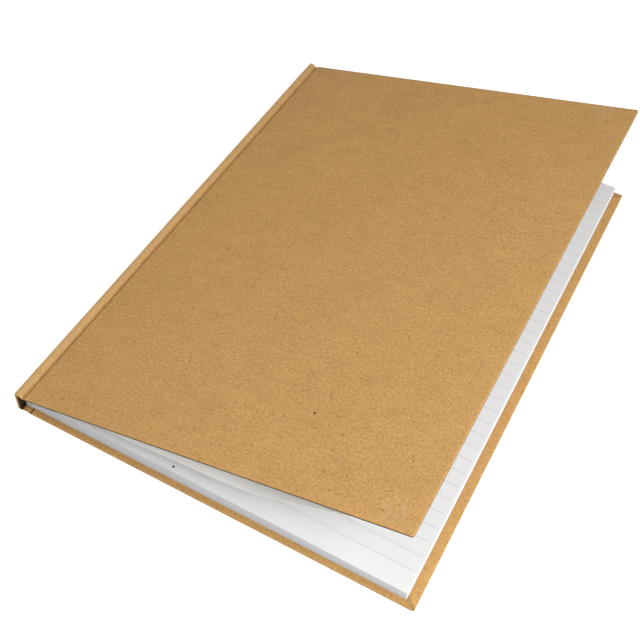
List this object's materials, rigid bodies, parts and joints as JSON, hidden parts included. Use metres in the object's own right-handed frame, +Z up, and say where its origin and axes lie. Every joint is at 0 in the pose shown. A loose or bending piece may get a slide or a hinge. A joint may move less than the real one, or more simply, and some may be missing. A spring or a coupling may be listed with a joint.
{
  "type": "hardback kraft notebook",
  "caption": "Case-bound notebook with kraft-covered boards, French-groove hinges, sewn ruled text block and endpapers, lying on its back cover with the front cover ajar.",
  "frame": {"origin": "centre of the outer face of the back cover, on the surface the notebook lies on", "axes": "+X from the spine towards the fore-edge, +Y from the tail to the head, +Z up through the pages"},
  "size_m": [0.212, 0.297, 0.0625],
  "materials": {
    "kraft_paper": "matte",
    "greyboard": "matte",
    "endpaper": "matte",
    "page_paper": "matte",
    "mull_cloth": "matte",
    "spine_lining": "matte",
    "glue": "satin",
    "thread": "matte"
  },
  "bodies": {
    "back_cover": {"back_board": "greyboard", "back_cover_paper": "kraft_paper", "back_joint_paper": "kraft_paper", "back_mull_flange": "mull_cloth", "back_pastedown": "endpaper"},
    "block": {"spine_board": "greyboard", "spine_paper": "kraft_paper", "spine_lining": "spine_lining", "spine_mull": "mull_cloth", "spine_glue": "glue", "sewing_thread": "thread", "section_1": "page_paper", "section_2": "page_paper", "section_3": "page_paper", "section_4": "page_paper", "section_5": "page_paper", "section_6": "page_paper", "section_7": "page_paper", "section_8": "page_paper"},
    "front_hinge": {"front_joint_paper": "kraft_paper"},
    "front_cover": {"front_board": "greyboard", "front_cover_paper": "kraft_paper", "front_mull_flange": "mull_cloth", "front_pastedown": "endpaper"},
    "endpaper_fold": {"front_endpaper_fold": "endpaper"},
    "flyleaf": {"front_flyleaf": "endpaper"},
    "leaf_1": {"leaf_1": "page_paper"},
    "leaf_2": {"leaf_2": "page_paper"},
    "leaf_3": {"leaf_3": "page_paper"},
    "rear_flyleaf": {"back_flyleaf": "endpaper"}
  },
  "joints": [
    {"name": "back_crease", "type": "hinge", "parent": "back_cover", "child": "block", "pos_m": [-0.106, 0, 0], "axis": [0, 1, 0], "range_deg": [-90, 0]},
    {"name": "front_shoulder_crease", "type": "hinge", "parent": "block", "child": "front_hinge", "pos_m": [-0.10478, 0, 0.01225], "axis": [0, -1, 0], "range_deg": [0, 169]},
    {"name": "front_groove_crease", "type": "hinge", "parent": "front_hinge", "child": "front_cover", "pos_m": [-0.1, 0, 0.0118], "axis": [0, -1, 0], "range_deg": [-15, 0]},
    {"name": "endpaper_fold_turn", "type": "hinge", "parent": "block", "child": "endpaper_fold", "pos_m": [-0.1021, 0, 0.00925], "axis": [0, -1, 0], "range_deg": [0, 122.18]},
    {"name": "flyleaf_lift", "type": "hinge", "parent": "endpaper_fold", "child": "flyleaf", "pos_m": [-0.0994, 0, 0.00932], "axis": [0, -1, 0], "range_deg": [-15.1, 0], "deforming": ["front_flyleaf"]},
    {"name": "leaf_1_turn", "type": "hinge", "parent": "block", "child": "leaf_1", "pos_m": [-0.09995, 0, 0.00908], "axis": [0, -1, 0], "range_deg": [0, 112.04]},
    {"name": "leaf_2_turn", "type": "hinge", "parent": "block", "child": "leaf_2", "pos_m": [-0.0996, 0, 0.00896], "axis": [0, -1, 0], "range_deg": [0, 98.52]},
    {"name": "leaf_3_turn", "type": "hinge", "parent": "block", "child": "leaf_3", "pos_m": [-0.09925, 0, 0.00884], "axis": [0, -1, 0], "range_deg": [0, 85]},
    {"name": "rear_flyleaf_turn", "type": "hinge", "parent": "block", "child": "rear_flyleaf", "pos_m": [-0.09995, 0, 0.00187], "axis": [0, 1, 0], "range_deg": [0, 46]}
  ],
  "couplings": [
    {"joint": "endpaper_fold_turn", "follows": "front_shoulder_crease", "ratio": 0.72},
    {"joint": "flyleaf_lift", "follows": "front_groove_crease", "ratio": 0.99},
    {"joint": "rear_flyleaf_turn", "follows": "back_crease", "ratio": -0.5},
    {"joint": "leaf_1_turn", "follows": "front_shoulder_crease", "ratio": 0.66},
    {"joint": "leaf_2_turn", "follows": "front_shoulder_crease", "ratio": 0.58},
    {"joint": "leaf_3_turn", "follows": "front_shoulder_crease", "ratio": 0.5}
  ]
}
